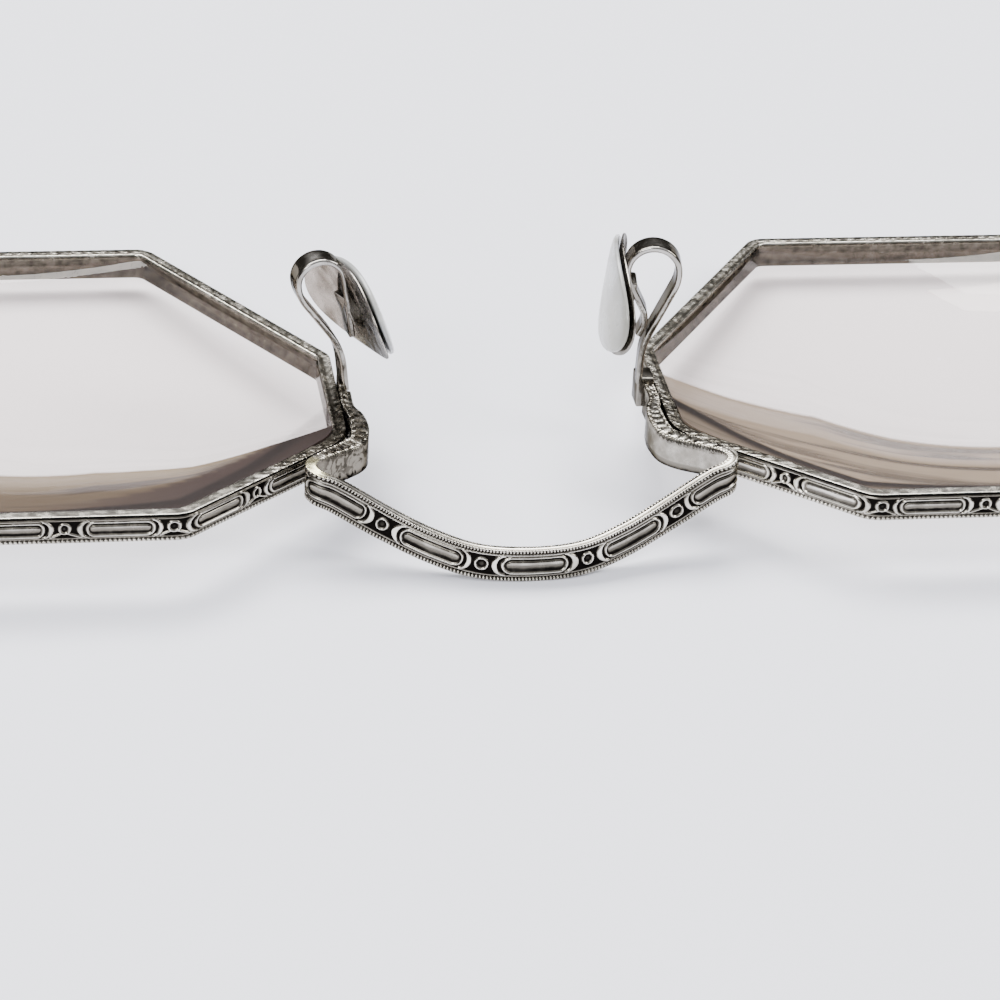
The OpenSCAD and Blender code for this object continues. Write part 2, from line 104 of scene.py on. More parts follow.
def finish(bm, name, body, material, replaced):
    mesh = bpy.data.meshes.new(name)
    bm.to_mesh(mesh)
    bm.free()
    for p in mesh.polygons:
        p.use_smooth = True
    piece = bpy.data.objects.new(name, mesh)
    bpy.context.scene.collection.objects.link(piece)
    mesh.materials.append(material)
    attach(piece, body)
    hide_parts(*replaced)
    return piece


# a grid whose second side wraps round a section; place(u, v) gives the points
def wrapGrid(along, around, place, closedAlong):
    bm = bmesh.new()
    bmesh.ops.create_grid(bm, x_segments=along, y_segments=around, size=0.5)
    co = np.array([v.co[:2] for v in bm.verts])
    u, v = [(c - c.min()) / np.ptp(c) for c in co.T]
    points, wearAndPaintedLight, *rest = place(u % 1 if closedAlong else u, v % 1)
    chased = rest[0] if rest else np.zeros_like(wearAndPaintedLight)
    wearLightLayer = bm.verts.layers.float.new("wearAndPaintedLight")
    chasedLayer = bm.verts.layers.float.new("chased")
    for vert, spot, w, c in zip(bm.verts, toRow(points), wearAndPaintedLight, chased):
        vert.co = spot
        vert[wearLightLayer] = w
        vert[chasedLayer] = c
    bmesh.ops.remove_doubles(bm, verts=bm.verts, dist=weld["grid"])
    if not closedAlong:
        bmesh.ops.holes_fill(bm, edges=[e for e in bm.edges if e.is_boundary], sides=0)
    bmesh.ops.recalc_face_normals(bm, faces=bm.faces)
    return bm


class Wire:    # wraps a socket, so that sums on it add Math nodes
    def __init__(self, tree, socket):
        self.tree = tree
        self.socket = socket

    def math(self, operation, *others, swap=False):
        parts = [self, *others]
        if swap:
            parts = parts[::-1]
        return self.tree.add("ShaderNodeMath", dict(operation=operation), dict(enumerate(parts)))

    def __add__(self, other):
        return self.math("ADD", other)

    def __sub__(self, other):
        return self.math("SUBTRACT", other)

    def __mul__(self, other):
        return self.math("MULTIPLY", other)

    def __rsub__(self, other):
        return self.math("SUBTRACT", other, swap=True)

    __radd__ = __add__
    __rmul__ = __mul__


class Finish:    # a material's node tree, with one method to add any node
    def __init__(self, name):
        self.material = bpy.data.materials.new(name)
        self.material.use_nodes = True
        self.nodes = self.material.node_tree.nodes
        self.links = self.material.node_tree.links
        self.nodes.clear()

    def add(self, kind, settings=None, inputs=None, out=0):
        node = self.nodes.new(kind)
        for key, value in (settings or {}).items():
            setattr(node, key, value)
        for key, value in (inputs or {}).items():
            if isinstance(value, Wire):
                self.links.new(value.socket, node.inputs[key])
            else:
                node.inputs[key].default_value = value
        return Wire(self, node.outputs[out]) if len(node.outputs) else None

    def mixed(self, factor, a, b):    # colours are given as three numbers or as a Wire
        a, b = [c if isinstance(c, Wire) else (*c, 1) for c in (a, b)]
        return self.add("ShaderNodeMix", dict(data_type="RGBA"), {0: factor, 6: a, 7: b}, out=2)

    def spot(self):    # Object coordinates
        return self.add("ShaderNodeTexCoord", out=3)

    def attribute(self, name):
        return self.add("ShaderNodeAttribute", dict(attribute_name=name), out=2)

    def noise(self, scale, detail=3.0, roughness=0.55, distortion=0.0):
        return self.add("ShaderNodeTexNoise", None,
                        dict(Vector=self.spot(), Scale=scale, Detail=detail, Roughness=roughness,
                             Distortion=distortion))

    def spread(self, value, low, high, toLow=0.0, toHigh=1.0):
        return self.add("ShaderNodeMapRange", dict(interpolation_type="SMOOTHSTEP"),
                        {0: value, 1: low, 2: high, 3: toLow, 4: toHigh})

    def metal(self, tone, roughness, bump):
        edge = metals["edgeTint"]
        return self.add("ShaderNodeBsdfPrincipled", None,
                        {"Base Color": tone, "Metallic": 1.0, "Roughness": roughness, "Normal": bump,
                         "Specular Tint": (edge, edge, edge, 1)})

    def close(self, shader):
        self.add("ShaderNodeOutputMaterial", None, dict(Surface=shader))
        return self.material


# Materials

metals = dict(
    bright=(0.83, 0.79, 0.71), dull=(0.5, 0.47, 0.41), grey=(0.2, 0.183, 0.153),
    patinaAndShade=(0.006, 0.005, 0.0045), plain=(0.46, 0.44, 0.41), warm=(0.24, 0.222, 0.195),
    brassy=(0.85, 0.79, 0.52), bare=(0.36, 0.345, 0.32), steel=(0.45, 0.43, 0.4),
    steelDull=(0.28, 0.27, 0.25), edgeTint=0.25,
)
grainScale = dict(cloud=330.0, fine=5200.0, streak=1500.0, wave=620.0, leaf=1400.0, scratch=2600.0)


# the wear mask is 1 on rubbed metal and 0 in the grooves, and brassy above 1, and on the pad arms it also
# holds a painted highlight on the edges and a painted dark line beside them; chased is where leaves are cut
def metalFinish(name, bright, dull, rough, grain, usesWearAndPaintedLight=True, waves=0.0):
    f = Finish(name)
    cloud = f.noise(grainScale["cloud"], 4.0)
    fine = f.noise(grainScale["fine"], 2.0)
    streak = f.noise(grainScale["streak"])
    tone = f.mixed(f.spread(cloud, 0.35, 0.68), metals[bright], metals[dull])
    roughness = f.spread(streak, 0.3, 0.75, *rough)
    height = fine * 0.25 + f.noise(grainScale["wave"], 2.0, 0.4) * waves
    if usesWearAndPaintedLight:
        wearAndPaintedLight = f.attribute("wearAndPaintedLight")
        leaf = f.noise(grainScale["leaf"], 1.0, 0.5, 1.8)
        cut = f.attribute("chased") * f.spread(leaf, 0.4, 0.56, 1.0, 0.0)
        tone = f.mixed(f.spread(wearAndPaintedLight, 1.1, 1.6), tone, metals["brassy"])
        wearAndPaintedLight = wearAndPaintedLight - cut * 0.26 + (streak - 0.5) * 0.3
        # low values turn grey and then dark: patina in the grooves, and painted shade in the pad arms' dark
        # line
        tone = f.mixed(f.spread(wearAndPaintedLight, 0.6, 0.95, 1.0, 0.0), tone, metals["grey"])
        patinaAndShadeMask = f.spread(wearAndPaintedLight, 0.18, 0.5, 1.0, 0.0)
        tone = f.mixed(patinaAndShadeMask, tone, metals["patinaAndShade"])
        roughness = roughness + patinaAndShadeMask * 0.3
        height = height - cut * 0.5
    bump = f.add("ShaderNodeBump", None, dict(Strength=grain, Distance=0.00004, Height=height))
    return f.close(f.metal(tone, roughness, bump))


engravedMetal = metalFinish("engravedMetal", "bright", "dull", (0.14, 0.32), 0.35)
plainMetal = metalFinish("plainMetal", "plain", "warm", (0.08, 0.2), 0.6, waves=4.0)
cableMetal = metalFinish("cableMetal", "bright", "dull", (0.2, 0.36), 0.3)
screwMetal = metalFinish("screwMetal", "steel", "steelDull", (0.22, 0.4), 0.4, usesWearAndPaintedLight=False)
bareMetal = metalFinish("bareMetal", "plain", "bare", (0.1, 0.24), 0.4, usesWearAndPaintedLight=False, waves=2.0)


pearlTones = dict(cool=(0.42, 0.427, 0.445), grey=(0.29, 0.29, 0.28), cream=(0.33, 0.32, 0.25), coat=0.35)


def pearlFinish():
    f = Finish("pearl")
    cloud = f.noise(420.0, 4.0)
    tone = f.mixed(f.spread(cloud, 0.3, 0.7), pearlTones["cool"], pearlTones["grey"])
    tone = f.mixed(f.spread(f.noise(90.0, 2.0), 0.45, 0.75), tone, pearlTones["cream"])
    shader = f.add("ShaderNodeBsdfPrincipled", None,
                   {"Base Color": tone, "Roughness": f.spread(cloud, 0.3, 0.7, 0.22, 0.38),
                    "Coat Weight": pearlTones["coat"], "Coat Roughness": 0.08, "Subsurface Weight": 0.1,
                    "Subsurface Radius": (0.001, 0.001, 0.0009), "Subsurface Scale": 0.6})
    return f.close(shader)


# the clear glass's colour, then the browns and streaks of the painted reflection band, its painted shade and
# the rim's painted shadow
glass = dict(
    clear=(0.988, 0.95, 0.922), reflectionLeft=(0.2, 0.145, 0.085), reflectionRight=(0.23, 0.172, 0.122),
    stripe=(0.06, 0.043, 0.03), bandShade=(0.038, 0.024, 0.021), shadow=(0.016, 0.011, 0.01),
    mirror=(0.9, 0.88, 0.86), bandDepth=0.82, stripeStretch=9.0, shine=0.6, leastShine=0.025,
)


# the brown band along the brow is a painted reflection, with painted streaks and a painted dark line at its
# edge; brow is 0 at the brow side and 1 at the band's edge; the band's darkest part is painted shade; gap is
# mm past the rim's painted shadow line
def glassFinish():
    f = Finish("lensGlass")
    brow, bandShade, gap = [f.attribute(k) for k in ("brow", "bandShade", "gap")]
    shadow = f.spread(gap, -0.2, 0.3, 1.0, 0.0) * f.spread(gap, -1.9, -0.5, 0.45, 1.0)
    across = f.add("ShaderNodeSeparateXYZ", None, dict(Vector=f.spot()))
    swept = f.add("ShaderNodeCombineXYZ", None, dict(X=brow, Y=across * glass["stripeStretch"]))
    stripe = f.add("ShaderNodeTexNoise", None, dict(Vector=swept, Scale=5.5, Detail=3.0, Distortion=0.4))
    # the band's colour: a painted brown reflection with painted streaks, painted shade and the rim's painted
    # shadow
    tan = f.mixed(f.spread(across, -0.001, 0.001), glass["reflectionLeft"], glass["reflectionRight"])
    paintedBand = f.mixed(f.spread(stripe, 0.38, 0.52), glass["stripe"], tan)
    paintedBand = f.mixed(bandShade, paintedBand, glass["bandShade"])
    paintedBand = f.mixed(shadow, paintedBand, glass["shadow"])
    line = f.spread(brow, 0.9, 0.95) * f.spread(brow, 0.96, 1.0, 0.15, 0.0)
    band = glass["bandDepth"]
    depth = f.spread(brow, 0.93, 1.0, band, 0.0) + line + bandShade * (1 - band) + shadow * (1 - band)
    depth = depth + f.spread(stripe, 0.45, 0.6) * f.spread(brow, 1.0, 1.9, 0.06, 0.0)
    clear = f.add("ShaderNodeBsdfTransparent", None, dict(Color=(*glass["clear"], 1)))
    shade = f.add("ShaderNodeBsdfPrincipled", None,
                  {"Base Color": paintedBand, "Roughness": 0.5, "Specular IOR Level": 0.1})
    body = f.add("ShaderNodeMixShader", None, {0: depth, 1: clear, 2: shade})
    gloss = f.add("ShaderNodeBsdfPrincipled", None,
                  {"Base Color": (*glass["mirror"], 1), "Metallic": 1.0,
                   "Roughness": f.spread(f.noise(60.0, 3.0), 0.3, 0.7, 0.01, 0.03)})
    facing = f.add("ShaderNodeLayerWeight", None, dict(Blend=0.5), out=1)
    shine = (facing.math("POWER", 5.0) * glass["shine"] + glass["leastShine"]) * (1 - shadow * 0.8)
    return f.close(f.add("ShaderNodeMixShader", None, {0: shine, 1: body, 2: gloss}))


pearl = pearlFinish()
lensGlass = glassFinish()
print("finishes made")

# Rolled pattern

pattern = dict(    # mm on a wall of twice drawnHalf; heights are 0 in the ground and 1 on the ridges
    period=6.55, depth=0.15, drawnHalf=0.9, ground=0.05, cartoucheLength=2.02, cartoucheHalf=0.47, floor=0.2,
    outline=0.085, bar=0.46, barWave=0.26, crescentAt=1.86, crescentLong=0.6, crescentTall=1.2,
    crescentHeight=0.92, ringRadius=0.32, ringWidth=0.085, ringFloor=0.25, railAt=0.69, railWidth=0.06,
    lowRail=0.8, beyondRail=0.6, bead=0.25, beadRadius=0.12, beadHeight=0.95,
    legTop=0.22, legSpread=0.3, legLong=0.75, legWidth=0.08, legHeight=0.9,
)


# height of the rolled pattern; s is along and w across in mm, and only the rims' rings stand on legs
def engraving(s, w, halfW, legs, beads):
    p = pattern
    k = halfW / p["drawnHalf"]
    half = p["period"] / 2
    wobble = 0.05 * np.sin(s * 1.7) + 0.03 * np.sin(s * 4.3 + 1.0)    # the roller's unevenness
    a = np.abs((s + half + wobble) % p["period"] - half)    # from a cartouche's middle
    r = half - a    # from a ring's middle
    high = p["cartoucheHalf"] * k
    cart = np.hypot(np.maximum(a - p["cartoucheLength"] + high, 0), w) - high
    height = np.full_like(s, p["ground"])
    bar = p["bar"] + p["barWave"] * np.sin(w * 7.0 + 0.6) + 0.03 * np.sin(s * 3.1)
    bar = p["floor"] + ease(0.2, 0.3, -cart) * (bar - p["floor"])
    height = np.maximum(height, np.where(cart < 0, bar, 0))
    height = np.maximum(height, ridge(cart + 0.02, p["outline"]))
    tall, wide = high * p["crescentTall"], p["crescentLong"]
    moon = (np.hypot((a - p["crescentAt"]) / wide, w / tall) - 1) * wide
    thick = (0.08 if legs else 0.12) * np.clip(1 - (w / tall) ** 2, 0, 1) + 0.035
    crescent = ease(thick + 0.07, thick - 0.03, np.abs(moon)) * (a > p["crescentAt"]) * (cart > 0.06)
    height = np.maximum(height, crescent * p["crescentHeight"])
    ring = np.hypot(r, w - (0.05 if legs else 0.0)) - p["ringRadius"] * k
    height = np.where(ring < 0, p["ringFloor"] * ease(-0.02, -0.3, ring), height)
    height = np.maximum(height, ridge(ring, p["ringWidth"]))
    if legs:
        t = np.clip((r - 0.12) / p["legLong"], 0, 1)
        leg = np.abs(w + p["legTop"] + p["legSpread"] * t) * 0.9
        height = np.maximum(height, ridge(leg, p["legWidth"]) * (r < 0.95) * (ring > 0) * p["legHeight"])
    rail = halfW * p["railAt"]
    height = np.maximum(height, ridge(w - rail, p["railWidth"]))
    height = np.maximum(height, ridge(w + rail, p["railWidth"] * p["lowRail"]) * p["lowRail"])
    height = height * np.where(np.abs(w) > rail, p["beyondRail"], 1)
    across = np.abs(w) - (halfW - p["beadRadius"] * 0.9)
    along = ((beads + 0.5) % 1.0 - 0.5) * p["bead"]
    bead = np.sqrt(np.clip(1 - (across ** 2 + along ** 2) / p["beadRadius"] ** 2, 0, 1))
    if legs:
        bead = bead * (w < 0)    # the rims keep only the lower row
    return np.maximum(height, bead * p["beadHeight"])


# Rims

rim = dict(
    lensW=42.0, lensH=36.5, noseGap=22.4, depth=1.8, wall=0.9, edge=0.1, inset=0.02,
    browCut=(10.3, 9.05), noseCut=(10.5, 16.35), cheekCut=12.0,
    cornerRadius=(1.6, 1.2, 1.0, 1.0, 1.2, 1.2, 1.2, 3.4), grooveAt=-1.1, grooveHalf=0.4, grooveDeep=0.36,
    along=1880, stepsPerBead=4, wallRows=33, ringOnBrow=dict(right=25.52, left=23.95),
    topBead=0.17, topLine=0.66, topRelief=0.06, innerWear=0.34,
)
noseX = rim["noseGap"] / 2
templeX = noseX + rim["lensW"]
halfH = rim["lensH"] / 2
openingCorners = [
    (noseX + rim["browCut"][0], -halfH), (templeX - rim["browCut"][0], -halfH),
    (templeX, rim["browCut"][1] - halfH), (templeX, halfH - rim["cheekCut"]),
    (templeX - rim["noseCut"][0], halfH), (noseX + rim["noseCut"][0], halfH),
    (noseX, halfH - rim["noseCut"][1]), (noseX, rim["browCut"][1] - halfH),
]


def grown(corners, d):
    points = np.array(corners)
    ahead = unit(np.roll(points, -1, 0) - points)
    out = np.stack([ahead[:, 1], -ahead[:, 0]], 1)
    before = np.roll(out, 1, 0)
    return points + d * (before + out) / (1 + (before * out).sum(1, keepdims=True))


# points and outward normals round the loop, from start on the outer side wall
def roundedLoop(corners, radii, start, step=0.02):
    points = np.array(corners)
    order = [(start, 0)] + [(tuple(points[(k + 3) % 8]), radii[(k + 3) % 8]) for k in range(8)]
    path, normals = [], []
    count = len(order)
    for k in range(count):
        here, radius = np.array(order[k][0]), order[k][1]
        back = unit(here - np.array(order[k - 1][0]))
        ahead = unit(np.array(order[(k + 1) % count][0]) - here)
        bend = math.acos(max(-1, min(1, float(back @ ahead))))
        reach = radius * math.tan(bend / 2)
        middle = here - back * reach + radius * np.array([-back[1], back[0]])
        steps = max(int(radius * bend / step), 1)
        for j in range(steps + 1):
            a = bend * j / steps
            n = np.array([back[1], -back[0]]) * math.cos(a) + back * math.sin(a)
            path.append(middle + radius * n if radius else here)
            normals.append(n)
    path.append(path[0])
    normals.append(normals[0])
    return np.array(path), np.array(normals), lengths(path)


# (offset from the wall's middle, height) round the section, with the engraved wall first
def rimSection():
    out, e, deep = rim["wall"] / 2 - rim["inset"], rim["edge"], rim["depth"]
    groove, spread = rim["grooveAt"], rim["grooveHalf"]
    wall = [(out, z) for z in np.linspace(-deep + e * 0.6, -e * 0.6, rim["wallRows"])]
    flat = [(d, 0) for d in np.linspace(out - e, -out + e * 0.7, 8)]
    top = [(out - e * 0.3, -e * 0.15), *flat, (-out, -e * 0.7)]
    inner = [(-out, -0.35), (-out, groove + spread), (-out + rim["grooveDeep"], groove),
             (-out, groove - spread), (-out, -deep + e * 0.7)]
    bottom = [(-out + e * 0.7, -deep), (0, -deep), (out - e, -deep), (out - e * 0.3, -deep + e * 0.15)]
    return np.array(wall + top + inner + bottom + [wall[0]])


def makeRim(side):
    sign = 1 if side == "right" else -1
    start = (templeX + rim["wall"] / 2, seat["hingeY"])
    path, normals, reach = roundedLoop(grown(openingCorners, rim["wall"] / 2), rim["cornerRadius"], start)
    section, rows = rimSection(), rim["wallRows"]
    onBrow = np.where(path[:, 1] < -halfH - rim["wall"] / 2 + 0.01)[0]
    ringAt = reach[onBrow[np.argmin(np.abs(path[onBrow, 0] - rim["ringOnBrow"][side]))]]

    def place(u, v):
        s = u * reach[-1]
        x, y = [np.interp(s, reach, c) for c in path.T]
        n = unit(np.stack([np.interp(s, reach, c) for c in normals.T], 1))
        at = v * (len(section) - 1)
        d, z = onSection(section, at)
        onWall, isTop = at < rows - 0.5, between(at, rows - 0.5, rows + 8.5)
        inner = between(at, rows + 9.5, rows + 14.5)
        beads = u * rim["along"] / rim["stepsPerBead"]
        fromRing, half = s - ringAt + pattern["period"] / 2, rim["depth"] / 2
        height = np.where(inner, rim["innerWear"], 1.0)
        height = np.where(onWall, engraving(fromRing, z + half, half, True, beads), height)
        onTop = ease(rows - 1.5, rows + 0.5, at) * ease(rows + 10.5, rows + 8.5, at)
        corner = ease(-3.5, -6.0, y) * ease(17.0, 13.5, x)    # the corner under the pad arm
        farSide = ease(-17.0, -15.0, y)
        chased = onTop * np.clip(0.05 + 0.35 * farSide + 0.6 * corner, 0, 1)
        across = rim["wall"] / 2 - d    # from the outer edge of the top, in mm
        beaded = beadRow(across, beads, rim["topBead"], 0.1, 0.6)
        lined = np.minimum(beaded, 1 - 0.65 * ridge(across - rim["topLine"], 0.09))
        smooth = ease(-4.0, -8.0, y) * (1 - corner)
        lined = lined + (1 - lined) * smooth
        textured = np.minimum(lined, 0.78 + 0.18 * np.sin(s * 7.9 + 2.6 * np.cos(across * 6.0)))
        lined = lined + (textured - lined) * np.clip(corner + 0.45 * farSide, 0, 1)
        gilt = ease(22.0, 20.0, x) * ease(-9.0, -11.0, y) * (side == "right") * onWall
        z = z - np.where(isTop, rim["topRelief"] * (1 - lined), 0)
        height = np.where(isTop, lined + 0.08 * smooth, height)
        d = d - np.where(onWall, pattern["depth"] * (1 - height), 0)
        height = height + gilt * (0.06 + 0.35 * height)
        points = np.stack([sign * (x + n[:, 0] * d), y + n[:, 1] * d, z], 1)
        return points, height, chased

    bm = wrapGrid(rim["along"], len(section) - 1, place, True)
    return finish(bm, "rimBand_" + side, "front", engravedMetal, ["rim_" + side])


for side in ("right", "left"):
    makeRim(side)
print("rims made")

# Bridge

bridge = dict(
    width=2.1, thickness=0.75, sideThickness=1.15, edge=0.06, bow=0.75, elbowOut=2.95, elbowY=14.6,
    elbowDrop=0.35, crestY=18.8, crestDrop=4.3, armY=2.4, armWidth=1.7, gap=0.25, cartoucheAt=0.3,
    archSteps=((0.672, 0.571, 0.481), (0.453, 0.286, 0.203), (0.242, 0.071, 0.038)),
    steps=60, along=1560, stepsPerBead=6, faceRows=35, elbowPoint=9, topBead=0.11, topLine=0.48,
    topRelief=0.08, sideBead=0.12, beadHalf=0.1,
    beadLow=dict(right=0.1, left=0.55), innerWear=dict(right=0.72, left=0.56),
)


def catmullRom(points, steps):
    points = [np.array(p, float) for p in points]
    path = []
    for i in range(len(points) - 1):
        a, b, c = points[max(i - 1, 0)], points[i], points[i + 1]
        d = points[min(i + 2, len(points) - 1)]
        for t in np.arange(steps) / steps:
            path.append(0.5 * (2 * b + (c - a) * t + (2 * a - 5 * b + 4 * c - d) * t ** 2
                               + (3 * b - a - 3 * c + d) * t ** 3))
    return np.array(path + [points[-1]])


# points as [x, y, z, thickness]
def bridgePath():
    b = bridge
    noseWall = noseX - rim["wall"]
    t, wide = b["thickness"], b["sideThickness"]
    medium = (t + wide) / 2
    x, z, side = noseWall - t / 2, -rim["depth"] / 2, noseWall - b["bow"]
    endY = -b["armY"] - b["armWidth"] / 2 - b["gap"]
    ex, ey, ez = noseWall + b["elbowOut"], -b["elbowY"], -b["elbowDrop"]
    crest = (0, -b["crestY"], -b["crestDrop"], t)
    half = [
        (x, endY, z, t), (x, endY - 2, z + 0.02, t), (side + 0.07, endY - 3.3, z + 0.08, medium),
        (side, -8.2, z + 0.12, wide), (side + 0.07, -9.4, z + 0.15, wide),
        (side + 0.36, -10.45, z + 0.15, wide), (side + 1.21, -11.3, z + 0.15, wide),
        (ex - 1.35, ey + 2.05, ez - 0.15, medium), (ex - 0.35, ey + 0.9, ez, t), (ex, ey, ez, t),
        (ex - 0.45, ey - 0.75, ez - 0.15, t), (ex - 1.6, ey - 1.05, ez - 0.6, t),
    ]
    for sx, sy, sz in b["archSteps"]:
        half.append((ex * sx, crest[1] + (ey - crest[1]) * sy, crest[2] + (ez - crest[2]) * sz, t))
    right = catmullRom(half + [crest, (-half[-1][0], *half[-1][1:])], b["steps"])[:-b["steps"]]
    left = right[:-1][::-1] * np.array([-1, 1, 1, 1])
    return np.concatenate([right, left])


# (across the thickness, up) round a strap, with the engraved face first
def bandSection(halfW, halfT, rows):
    e = bridge["edge"]
    face = [(-halfT, z) for z in np.linspace(-halfW + e * 0.6, halfW - e * 0.6, rows)]
    top = [(d, halfW) for d in np.linspace(-halfT + e * 0.8, halfT - e * 0.8, 10)]
    inner = [(halfT, z) for z in (halfW - e * 1.2, halfW / 2, 0, -halfW / 2, -halfW + e * 1.2)]
    low = [(halfT - e * 1.2, -halfW), (0, -halfW), (-halfT + e * 1.5, -halfW),
           (-halfT + e * 0.4, -halfW + e * 0.1)]
    return np.array(face + top + inner + low + [face[0]])


def makeBridge():
    swept = bridgePath()
    path, thick = swept[:, :3], swept[:, 3]
    reach = lengths(path)
    ahead = unit(np.gradient(path, axis=0))
    up = unit(np.array([0, 0, 1]) - ahead * ahead[:, 2:3])
    across = np.cross(ahead, up)
    rows, halfW = bridge["faceRows"], bridge["width"] / 2
    section = bandSection(halfW, bridge["thickness"] / 2, rows)
    middle = reach[-1] / 2 - bridge["cartoucheAt"]
    elbowAt = reach[bridge["elbowPoint"] * bridge["steps"]]

    def pick(s, values):
        return np.stack([np.interp(s, reach, values[:, k]) for k in range(3)], 1)

    def place(u, v):
        s = u * reach[-1]
        at = v * (len(section) - 1)
        d, z = onSection(section, at)
        thickHere = np.interp(s, reach, thick)
        d = d + np.sign(d) * (thickHere - bridge["thickness"]) / 2
        onFace, onTop = at < rows - 0.5, between(at, rows - 0.5, rows + 9.5)
        plain, lowEdge = between(at, rows + 9.5, rows + 14.5), between(at, rows + 13.5, rows + 16.5)
        beads = u * bridge["along"] / bridge["stepsPerBead"]
        height = np.where(onFace, engraving(s - middle, z, halfW, False, beads), 1.0)
        d = d + np.where(onFace, pattern["depth"] * (1 - height), 0)
        inward = thickHere / 2 - d    # from the inner edge of the top, in mm
        fromEnd = np.minimum(s, reach[-1] - s)
        onLeft = s > reach[-1] / 2
        low, innerWear = [np.where(onLeft, bridge[k]["left"], bridge[k]["right"])
                          for k in ("beadLow", "innerWear")]
        arch = beadRow(inward, beads * 0.9, bridge["topBead"], bridge["beadHalf"], low)
        arch = np.minimum(arch, 1 - 0.85 * ridge(inward - bridge["topLine"], 0.055))
        leafy = 0.78 + 0.18 * np.sin(s * 8.6 + 2.4 * np.cos(inward * 5.5))
        bothSides = (bridge["sideBead"], thickHere - bridge["sideBead"])
        sides = np.minimum(*[beadRow(inward, beads * 0.9, m, bridge["beadHalf"], 0.3) for m in bothSides])
        sides = sides * leafy * 1.2
        side = ease(12.2, 10.8, fromEnd)
        rubbed = ease(1.9, 0.5, np.abs(fromEnd - elbowAt)) * np.where(onLeft, 1.0, 0.45)
        lined = arch + (sides - arch) * side
        lined = lined + (1 - lined) * rubbed
        z = z - np.where(onTop, bridge["topRelief"] * (1 - lined), 0)
        height = np.where(onTop, np.clip(lined, 0.05, 1) + 0.6 * rubbed * onLeft, height)
        points = pick(s, path) + pick(s, across) * d[:, None] + pick(s, up) * z[:, None]
        height = np.where(lowEdge, 0.25, np.where(plain, innerWear, height))
        leaves = onTop * (0.1 + 0.6 * side) + (plain & onLeft) * 0.9 * ease(14.0, 12.0, fromEnd)
        return points, height, leaves * (1 - rubbed)

    bm = wrapGrid(bridge["along"], len(section) - 1, place, False)
    return finish(bm, "bridgeStrap", "front", engravedMetal, ["bridge"])


makeBridge()
print("bridge made")

# Pad arms, pads and the metal plates behind them

arm = dict(
    width=1.7, thickness=0.4, edge=0.13, endTaper=0.1, stem=1.75, start=0.05, flareRadius=5.0,
    flareAngle=30.0, shoulderRadius=2.6, footTop=0.45, footLow=-1.62, footY=2.4, footEdge=0.12, along=300,
    wear=0.74, edgeHighlight=0.2, paintedDarkLine=0.5, lineAt=0.73,
)
pad = dict(
    length=11.5, width=6.3, thickness=0.6, plate=0.2, lip=0.15, curve=18.5, shift=1.0, lugHeight=2.0,
    lugSink=0.3, lugEdge=dict(right=0.16, left=0.08), lugWear=0.75, plateSquare=6.0, pearlSquare=3.4,
)
padSides = dict(
    right=dict(
        inset=0.93, rake=8, flareRun=3.5, toe=7, lean=-6, splay=6, twist=0, pitch=1, lug=0.32, drop=1.6,
        loop=1.65, turn=-200, leg=(("run", 2.2), ("turn", 1.6, 50), ("run", 0.5)), seatRun=None,
        lugLow=1.8, lugReach=0.55,
    ),
    left=dict(
        inset=0.38, rake=0, flareRun=2.7, toe=9, lean=7, splay=19, twist=8, pitch=-9, lug=0.06, drop=-0.2,
        loop=1.5, turn=-178, leg=(("run", 4.2),), seatRun=2.4, lugLow=0.0, lugReach=0.0,
    ),
)


# straight runs and turns in a plane, as points [out, up, heading in degrees]
def walk(start, steps):
    path = [list(start)]
    for step in steps:
        x, y, h = path[-1]
        if step[0] == "run":
            h = math.radians(h)
            pieces = max(int(step[1] / 0.15), 1)
            for k in range(1, pieces + 1):
                run = step[1] * k / pieces
                path.append([x + run * math.sin(h), y + run * math.cos(h), path[-1][2]])
            continue
        r, bend = step[1], step[2]
        s = 1 if bend > 0 else -1
        pieces = max(int(abs(bend) / 4), 1)
        for k in range(1, pieces + 1):
            g = h + bend * k / pieces
            a, b = math.radians(h), math.radians(g)
            path.append([x + s * r * (math.cos(a) - math.cos(b)), y - s * r * (math.sin(a) - math.sin(b)), g])
    return path


def moveBy(x=0, y=0, z=0):
    return Matrix.Translation((x, y, z))


def turnBy(angle, axis):
    return Matrix.Rotation(math.radians(angle), 4, axis)


def padLayout(side):
    p = padSides[side]
    neck = [("run", arm["stem"] - arm["start"]), ("turn", arm["flareRadius"], arm["flareAngle"] - p["rake"]),
            ("run", p["flareRun"]), ("turn", arm["shoulderRadius"], -arm["flareAngle"])]
    foot = (0, arm["start"], p["rake"])
    path = walk(foot, neck + [("turn", p["loop"], p["turn"]), *p["leg"]])
    if p["seatRun"] is None:
        at = walk(foot, neck + [("turn", p["loop"], -(180 - p["splay"]) - p["lean"])])[-1]
    else:
        at = walk(foot, neck + [("turn", p["loop"], p["turn"]), ("run", p["seatRun"])])[-1]
    footX = noseX - rim["wall"] - p["inset"]
    armFrame = moveBy(footX, -arm["footY"], 0) @ turnBy(-p["toe"], "Z") @ turnBy(p["lean"], "Y")
    seatFrame = (armFrame @ moveBy(at[0], 0, at[1]) @ turnBy(-p["lean"], "Y") @ turnBy(-p["twist"], "Z")
                 @ turnBy(p["pitch"], "X") @ turnBy(p["splay"], "Y"))
    padFrame = seatFrame @ moveBy(-arm["thickness"] / 2 - p["lug"], -pad["shift"], -p["drop"])
    return path, footX, armFrame, seatFrame, padFrame


def placed(points, matrix, side):
    spots = np.asarray(points) @ np.array(matrix.to_3x3()).T + np.array(matrix.translation)
    return spots * np.array([-1 if side == "left" else 1, 1, 1])


